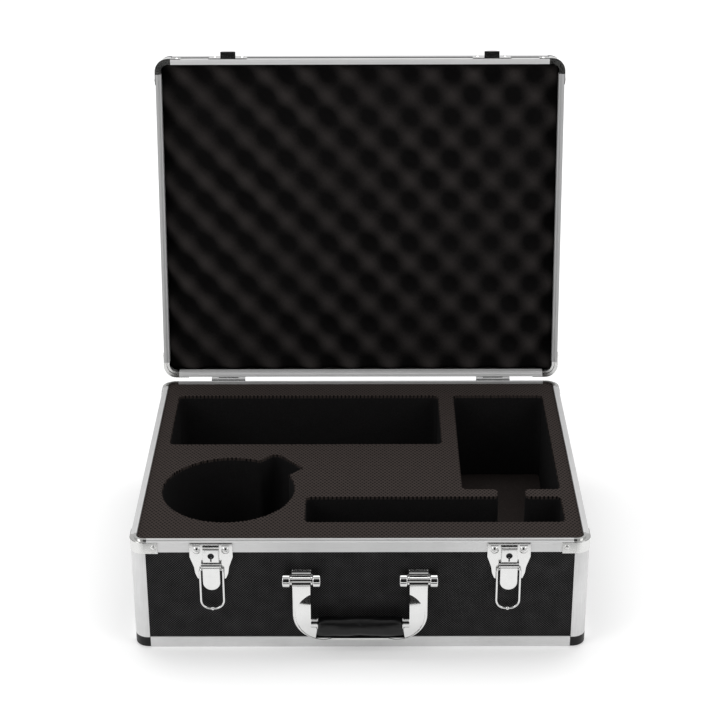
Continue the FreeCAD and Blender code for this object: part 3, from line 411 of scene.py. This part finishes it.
SMOOTH_ANGLE = math.radians(32)
FOAM_SMOOTH_ANGLE = math.radians(60)
EDGE_SOFTNESS = {
    "handle_pin": 0.5 * MM,
    "handle_bow": 0.2 * MM,
    "latch_plate": 0.2 * MM,
    "lid_catch": 0.2 * MM,
    "corner_posts": 0.5 * MM,
}
EDGE_SEGMENTS = 2
EDGE_ANGLE = math.radians(40)


def ease_edges(name, node):
    """Turned-over edges on the pressed and rolled metal, so that they catch the light."""
    for words, width in EDGE_SOFTNESS.items():
        if words in name:
            bevel = node.modifiers.new("eased_edges", "BEVEL")
            bevel.width = width
            bevel.segments = EDGE_SEGMENTS
            bevel.limit_method = "ANGLE"
            bevel.angle_limit = EDGE_ANGLE


for name, node in NODES.items():
    node.data.materials.clear()
    node.data.materials.append(finish_for(name))
    node.data.polygons.foreach_set("use_smooth", [True] * len(node.data.polygons))
    node.data.set_sharp_from_angle(angle=SMOOTH_ANGLE)
    ease_edges(name, node)


# New pieces -----------------------------------------------------------------------------------

def new_object(name, mesh, material, smooth_angle=SMOOTH_ANGLE):
    piece = bpy.data.objects.new(name, mesh)
    bpy.context.scene.collection.objects.link(piece)
    mesh.materials.clear()
    mesh.materials.append(material)
    mesh.polygons.foreach_set("use_smooth", [True] * len(mesh.polygons))
    mesh.set_sharp_from_angle(angle=smooth_angle)
    return piece


def grid_faces(columns, rows, first=0, flipped=False):
    """Quads over a grid of points stored row by row."""
    faces = []
    for row in range(rows - 1):
        for column in range(columns - 1):
            corner = first + row * columns + column
            quad = (corner, corner + 1, corner + columns + 1, corner + columns)
            faces.append(quad[::-1] if flipped else quad)
    return faces


def grid_rim(columns, rows):
    """The outer points of a grid in order, once around."""
    rim = list(range(columns))
    rim += [row * columns + columns - 1 for row in range(1, rows)]
    rim += [(rows - 1) * columns + column for column in range(columns - 2, -1, -1)]
    rim += [row * columns for row in range(rows - 2, 0, -1)]
    return rim


EGG_STEP = 2.0 * MM
EGG_PITCH = (47.0 * MM, 48.8 * MM)
EGG_VALLEY = (10.3 * MM, -19.7 * MM)
EGG_SWING = 6.2 * MM
EGG_CREST = 0.8 * MM
EGG_SINK = 1.5 * MM
EGG_SINK_STEPS = 3
EGG_SLANT = 0.6
EGG_SPAN = 448 * MM


def egg_depth(across, along):
    """How far the foam lies behind its crests: staggered valleys, rounded crests."""
    turn = [2 * math.pi * (value - start) / pitch
            for value, start, pitch in zip((across, along), EGG_VALLEY, EGG_PITCH)]
    swell = math.cos(turn[0]) * math.cos(turn[1])
    swell += EGG_SLANT * (0.5 - across / EGG_SPAN) * math.sin(turn[0]) * math.sin(turn[1])
    drift = 0.12 * math.sin(31 * across + 17 * along) + 0.1 * math.sin(47 * along - 23 * across)
    return EGG_CREST + EGG_SWING * (1 + swell * (1 + drift))


def egg_crate():
    """The lid's convoluted foam, from wall to wall."""
    low, high = closed_box("lid_egg_foam")
    columns = round((high.x - low.x) / EGG_STEP) + 1
    rows = round((high.y - low.y) / EGG_STEP) + 1
    faced, backed = [], []
    for row in range(rows):
        along = low.y + (high.y - low.y) * row / (rows - 1)
        for column in range(columns):
            across = low.x + (high.x - low.x) * column / (columns - 1)
            edge = min(column, row, columns - 1 - column, rows - 1 - row)
            tuck = EGG_SINK * max(0, 1 - edge / EGG_SINK_STEPS) ** 2
            faced.append((across, along, low.z + egg_depth(across, along) + tuck))
            backed.append((across, along, high.z))
    mesh = bpy.data.meshes.new("lid_egg_crate")
    count = len(faced)
    faces = grid_faces(columns, rows, flipped=True) + grid_faces(columns, rows, first=count)
    rim = grid_rim(columns, rows)
    for here, there in zip(rim, rim[1:] + rim[:1]):
        faces.append((here, there, there + count, here + count))
    mesh.from_pydata(faced + backed, [], faces)
    # The depth of each point behind the crests, 0 to 1, which the foam's material turns into
    # painted shade.
    hollow_shade = mesh.attributes.new("hollow_shade", "FLOAT", "POINT")
    deepest = EGG_CREST + 2 * EGG_SWING
    hollow_shade.data.foreach_set("value", [(point[2] - low.z) / deepest for point in faced + backed])
    mesh.transform(OPENING)
    piece = new_object("lid_egg_crate", mesh, EGG_FOAM, smooth_angle=FOAM_SMOOTH_ANGLE)
    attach(piece, "lid")
    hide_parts("lid_egg_foam")


egg_crate()


# The insert's top sheet -----------------------------------------------------------------------

WELD = 1e-6
TOOTH = 2.2 * MM
TOOTH_DEPTH = 1.6 * MM
TOOTH_SEED = 4


def top_outlines(name):
    """The closed outlines of a node's top face: the outer one and one for each pocket."""
    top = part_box(name)[1].z
    source = bmesh.new()
    source.from_mesh(NODES[name].data)
    bmesh.ops.remove_doubles(source, verts=source.verts, dist=WELD)
    near = 1e-5
    caps = {face for face in source.faces if all(abs(v.co.z - top) < near for v in face.verts)}
    follow = {}
    for face in caps:
        for loop in face.loops:
            if sum(other in caps for other in loop.edge.link_faces) == 1:
                follow[loop.vert.index] = loop.link_loop_next.vert.index
    places = {vertex.index: vertex.co.to_2d() for vertex in source.verts}
    source.free()
    outlines = []
    while follow:
        start, here = follow.popitem()
        outline = [places[start]]
        while here != start:
            outline.append(places[here])
            here = follow.pop(here)
        outlines.append(outline)
    return outlines


def evenly(outline, step):
    """Points a step apart along a closed outline, an even number of them."""
    spans = [(end - start).length for start, end in zip(outline, outline[1:] + outline[:1])]
    count = 2 * round(sum(spans) / step / 2)
    points, covered, index = [], 0.0, 0
    for number in range(count):
        wanted = sum(spans) * number / count
        while covered + spans[index] < wanted:
            covered += spans[index]
            index += 1
        start, end = outline[index], outline[(index + 1) % len(outline)]
        points.append(start.lerp(end, (wanted - covered) / spans[index]))
    return points


def toothed(outline, draw):
    """A pocket's outline with the small ragged teeth that a blade leaves in pressed foam."""
    points = evenly(outline, TOOTH)
    ragged = []
    for index, point in enumerate(points):
        heading = points[(index + 1) % len(points)] - points[index - 1]
        outward = Vector((-heading.y, heading.x)).normalized()
        reach = TOOTH_DEPTH * (index % 2) * draw.uniform(0.6, 1.0) + draw.uniform(0, 0.1) * MM
        ragged.append(point + outward * reach)
    return ragged


def foam_top_sheet():
    """The insert's dotted top sheet, with ragged edges around its pockets."""
    low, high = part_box("base_foam_top_sheet")
    draw = random.Random(TOOTH_SEED)
    outlines = top_outlines("base_foam_top_sheet")
    outer = max(outlines, key=lambda outline: max(point.x for point in outline))
    curve = bpy.data.curves.new("foam_outline", "CURVE")
    curve.dimensions = "2D"
    curve.fill_mode = "BOTH"
    curve.extrude = (high.z - low.z) / 2
    for outline in outlines:
        points = outline if outline is outer else toothed(outline, draw)
        line = curve.splines.new("POLY")
        line.points.add(len(points) - 1)
        line.use_cyclic_u = True
        for target, point in zip(line.points, points):
            target.co = (point.x, point.y, 0, 1)
    drawn = bpy.data.objects.new("foam_outline", curve)
    mesh = bpy.data.meshes.new_from_object(drawn)
    bpy.data.objects.remove(drawn)
    sheet = bmesh.new()
    sheet.from_mesh(mesh)
    bmesh.ops.remove_doubles(sheet, verts=sheet.verts, dist=WELD)
    bmesh.ops.translate(sheet, verts=sheet.verts, vec=(0, 0, (low.z + high.z) / 2))
    bmesh.ops.recalc_face_normals(sheet, faces=sheet.faces)
    sheet.to_mesh(mesh)
    sheet.free()
    piece = new_object("foam_top_sheet", mesh, TOP_FOAM)
    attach(piece, "root")
    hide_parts("base_foam_top_sheet")


foam_top_sheet()


# The foam under the sheet ---------------------------------------------------------------------

WALL_STEP = 4.0 * MM
WALL_RISE = 5.0 * MM
WALL_WAVE = 0.35 * MM
WALL_WAVE_RATE = 90
WALL_RIPPLE_RATE = 260
FLOOR_STEP = 5.0 * MM
FLOOR_SAG = 0.9 * MM
FLOOR_SAG_RATE = 60


def foam_block():
    """The pocketed core: its knife-cut walls wander a little from a true plane."""
    low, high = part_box("base_foam_block")
    layers = round((high.z - low.z) / WALL_RISE)
    core = bmesh.new()
    rims = {low.z: [], high.z: []}
    for outline in top_outlines("base_foam_block"):
        points = evenly(outline, WALL_STEP)
        rows = []
        for layer in range(layers + 1):
            level = low.z + (high.z - low.z) * layer / layers
            row = []
            for index, point in enumerate(points):
                heading = points[(index + 1) % len(points)] - points[index - 1]
                outward = Vector((-heading.y, heading.x, 0)).normalized()
                place = Vector((*point, level))
                wander = noise.noise(place * WALL_WAVE_RATE)
                wander += 0.5 * noise.noise(place * WALL_RIPPLE_RATE)
                row.append(core.verts.new(place + outward * WALL_WAVE * wander))
            rows.append(row)
        for lower, upper in zip(rows, rows[1:]):
            for index in range(len(points)):
                after = (index + 1) % len(points)
                core.faces.new((lower[index], lower[after], upper[after], upper[index]))
        for level, row in ((low.z, rows[0]), (high.z, rows[-1])):
            for index in range(len(points)):
                rims[level].append(core.edges.get((row[index], row[(index + 1) % len(points)])))
    for edges in rims.values():
        bmesh.ops.triangle_fill(core, edges=edges, use_beauty=True)
    bmesh.ops.recalc_face_normals(core, faces=core.faces)
    mesh = bpy.data.meshes.new("foam_core")
    core.to_mesh(mesh)
    core.free()
    piece = new_object("foam_core", mesh, WALL_FOAM, smooth_angle=FOAM_SMOOTH_ANGLE)
    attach(piece, "root")
    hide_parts("base_foam_block")


def foam_floor():
    """The pad under the pockets: a soft sheet that sags unevenly."""
    low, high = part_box("base_foam_floor")
    columns = round((high.x - low.x) / FLOOR_STEP) + 1
    rows = round((high.y - low.y) / FLOOR_STEP) + 1
    faced, backed = [], []
    for row in range(rows):
        along = low.y + (high.y - low.y) * row / (rows - 1)
        for column in range(columns):
            across = low.x + (high.x - low.x) * column / (columns - 1)
            sag = 0.5 + 0.5 * noise.noise(Vector((across, along, 0)) * FLOOR_SAG_RATE)
            faced.append((across, along, high.z - FLOOR_SAG * sag))
            backed.append((across, along, low.z))
    count = len(faced)
    faces = grid_faces(columns, rows) + grid_faces(columns, rows, first=count, flipped=True)
    rim = grid_rim(columns, rows)
    for here, there in zip(rim, rim[1:] + rim[:1]):
        faces.append((there, here, here + count, there + count))
    mesh = bpy.data.meshes.new("foam_floor_pad")
    mesh.from_pydata(faced + backed, [], faces)
    piece = new_object("foam_floor_pad", mesh, FLOOR_FOAM, smooth_angle=FOAM_SMOOTH_ANGLE)
    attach(piece, "root")
    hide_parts("base_foam_floor")


foam_block()
foam_floor()


# The padded grip ------------------------------------------------------------------------------

GRIP_RINGS = 61
GRIP_SIDES = 48
GRIP_FLARE = 1.6 * MM
GRIP_TUCK = 1.4 * MM
GRIP_SQUARENESS = 0.62


def grip_form(low, high):
    """The stuffed grip before it swells: a soft-cornered roll whose ends follow the bow."""
    middle, half = (low + high) / 2, (high - low) / 2
    points = []
    for ring in range(GRIP_RINGS):
        share = 2 * ring / (GRIP_RINGS - 1) - 1
        tuck = GRIP_TUCK * abs(share) ** 14
        for side in range(GRIP_SIDES):
            turn = 2 * math.pi * side / GRIP_SIDES
            across, up = math.cos(turn), math.sin(turn)
            across = math.copysign(abs(across) ** GRIP_SQUARENESS, across)
            up = math.copysign(abs(up) ** GRIP_SQUARENESS, up)
            flare = GRIP_FLARE * max(0, -up) * share
            points.append((
                middle.x + half.x * share + flare,
                middle.y + (half.y - tuck) * across,
                middle.z + (half.z - tuck) * up,
            ))
    faces = []
    for ring in range(GRIP_RINGS - 1):
        for side in range(GRIP_SIDES):
            here = ring * GRIP_SIDES + side
            beside = ring * GRIP_SIDES + (side + 1) % GRIP_SIDES
            faces.append((here, here + GRIP_SIDES, beside + GRIP_SIDES, beside))
    faces.append(tuple(range(GRIP_SIDES)))
    last = (GRIP_RINGS - 1) * GRIP_SIDES
    faces.append(tuple(range(last + GRIP_SIDES - 1, last - 1, -1)))
    mesh = bpy.data.meshes.new("handle_grip_pad")
    mesh.from_pydata(points, [], faces)
    return mesh


GRIP_SHRINK = 0.9 * MM
GRIP_SWELL_LIMIT = 0.9 * MM
GRIP_VOXEL = 1.3 * MM
GRIP_PRESSURE = 4
GRIP_FRAMES = 20
SHORTEST_STEP = 1e-9


def swollen(piece, limit):
    """Lets the piece puff up under pressure as cloth, and keeps each point within limit."""
    before = [vertex.co.copy() for vertex in piece.data.vertices]
    cloth = piece.modifiers.new("cloth", "CLOTH")
    cloth.settings.use_pressure = True
    cloth.settings.uniform_pressure_force = GRIP_PRESSURE
    cloth.settings.effector_weights.gravity = 0
    for frame_number in range(1, GRIP_FRAMES + 1):
        bpy.context.scene.frame_set(frame_number)
    settled = piece.evaluated_get(bpy.context.evaluated_depsgraph_get()).data
    after = [vertex.co.copy() for vertex in settled.vertices]
    piece.modifiers.remove(cloth)
    bpy.context.scene.frame_set(1)
    for vertex, start, end in zip(piece.data.vertices, before, after):
        step = end - start
        vertex.co = start + step * min(1, limit / max(step.length, SHORTEST_STEP))


WRINKLE = 0.45 * MM
PINCH = 0.5 * MM


def wrinkle(piece, low, high):
    """Shallow lumps along the padding, and puckers where it is drawn in at each end."""
    middle, half = (low + high) / 2, (high - low) / 2
    for vertex in piece.data.vertices:
        place = vertex.co
        share = (place.x - middle.x) / half.x
        out = Vector((0, place.y - middle.y, place.z - middle.z))
        turn = math.atan2(out.z, out.y)
        lumps = math.sin(7.5 * share + 1.1 * turn) + 0.6 * math.sin(13 * share - 2 * turn + 1)
        pucker = math.cos(11 * turn) * abs(share) ** 8
        depth = WRINKLE * (lumps - 1.6) / 2 + PINCH * (pucker - 1) / 2
        vertex.co = place + out.normalized() * depth


def grip():
    """The stuffed grip: a roll that is remeshed, puffed up, wrinkled and smoothed."""
    low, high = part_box("handle_grip")
    inset = Vector((0, GRIP_SHRINK, GRIP_SHRINK))
    piece = new_object("handle_grip_pad", grip_form(low + inset, high - inset), LEATHER)
    bpy.context.view_layer.objects.active = piece
    remesh = piece.modifiers.new("remesh", "REMESH")
    remesh.mode = "VOXEL"
    remesh.voxel_size = GRIP_VOXEL
    bpy.ops.object.modifier_apply(modifier="remesh")
    swollen(piece, GRIP_SWELL_LIMIT)
    wrinkle(piece, low, high)
    smoothing = piece.modifiers.new("smooth", "SUBSURF")
    smoothing.levels = smoothing.render_levels = 1
    bpy.ops.object.modifier_apply(modifier="smooth")
    piece.data.polygons.foreach_set("use_smooth", [True] * len(piece.data.polygons))
    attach(piece, "handle")
    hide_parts("handle_grip")


grip()


# Floor, lights and camera ---------------------------------------------------------------------

FLOOR_SIZE = 40
FLOOR_GLOW = 0.24
WORLD_STRENGTH = 0.6


def floor():
    """A pale studio floor that glows a little, so that it stays even."""
    bpy.ops.mesh.primitive_plane_add(size=FLOOR_SIZE, location=(0, 0, 0))
    plane = bpy.context.object
    plane.name = "studio_floor"
    paint = Paint("studio_floor")
    tint = paint.noise(0.7, detail=2)
    paint.colour(paint.ramp(tint, 0.3, 0.7, (0.86, 0.86, 0.86), (0.88, 0.88, 0.88)))
    paint.roughness(0.9)
    paint.shine(0.1)
    paint.shader.inputs["Emission Color"].default_value = (1, 1, 1, 1)
    paint.shader.inputs["Emission Strength"].default_value = FLOOR_GLOW
    plane.data.materials.append(paint.material)


def softbox(name, place, target, size, power):
    """A rectangular light at place, facing target."""
    data = bpy.data.lights.new(name, "AREA")
    data.shape = "RECTANGLE"
    data.size, data.size_y = size
    data.energy = power
    lamp = bpy.data.objects.new(name, data)
    bpy.context.scene.collection.objects.link(lamp)
    lamp.location = place
    lamp.rotation_euler = (Vector(target) - Vector(place)).to_track_quat("-Z", "Y").to_euler()


def flag(name, place, size, tilt):
    """A black card that only reflections see, tilted up from lying flat."""
    bpy.ops.mesh.primitive_plane_add(size=1, location=place, rotation=(math.radians(tilt), 0, 0))
    card = bpy.context.object
    card.name = name
    card.scale = (*size, 1)
    card.visible_camera = card.visible_diffuse = card.visible_shadow = False
    paint = Paint(name)
    paint.colour((0.0, 0.0, 0.0))
    paint.roughness(1.0)
    card.data.materials.append(paint.material)


def world():
    """An even white sky."""
    backdrop = bpy.data.worlds.new("studio")
    bpy.context.scene.world = backdrop
    backdrop.use_nodes = True
    background = backdrop.node_tree.nodes["Background"]
    background.inputs["Color"].default_value = (1.0, 1.0, 1.0, 1)
    background.inputs["Strength"].default_value = WORLD_STRENGTH


VIEW_PLACE = (0.0065, -1.8007, 1.0804)
VIEW_PITCH = math.radians(25.11)
VIEW_YAW = math.radians(-0.208)
VIEW_ROLL = math.radians(-0.187)
VIEW_LENS = 94.03
SENSOR_WIDTH = 36


def camera():
    """The view from the front, 25 degrees above the horizon, through a long lens."""
    level = math.cos(VIEW_PITCH)
    ahead = Vector((math.sin(VIEW_YAW) * level, math.cos(VIEW_YAW) * level, -math.sin(VIEW_PITCH)))
    data = bpy.data.cameras.new("view")
    data.sensor_width = SENSOR_WIDTH
    data.lens = VIEW_LENS
    viewer = bpy.data.objects.new("view", data)
    bpy.context.scene.collection.objects.link(viewer)
    turned = ahead.to_track_quat("-Z", "Y").to_matrix() @ Matrix.Rotation(VIEW_ROLL, 3, "Z")
    viewer.matrix_world = Matrix.Translation(VIEW_PLACE) @ turned.to_4x4()
    bpy.context.scene.camera = viewer


CARD_LEVEL = 0.004

floor()
world()
softbox("key_left", place=(-2.6, -1.6, 2.2), target=(0, 0, 0.1), size=(1.6, 1.6), power=19)
softbox("key_right", place=(2.6, -1.4, 2.2), target=(0, 0, 0.1), size=(1.6, 1.6), power=12)
softbox("overhead", place=(0, 1.6, 4.3), target=(0, 0, 0), size=(5.0, 3.0), power=105)
flag("flag_front", place=(0, -3.2, 1.9), size=(2.2, 3.8), tilt=90)
flag("flag_low", place=(0, -0.4425, CARD_LEVEL), size=(1.6, 0.115), tilt=0)
flag("flag_near", place=(0, -0.3575, CARD_LEVEL), size=(0.2, 0.055), tilt=0)
camera()
bpy.context.scene.view_settings.view_transform = "Standard"
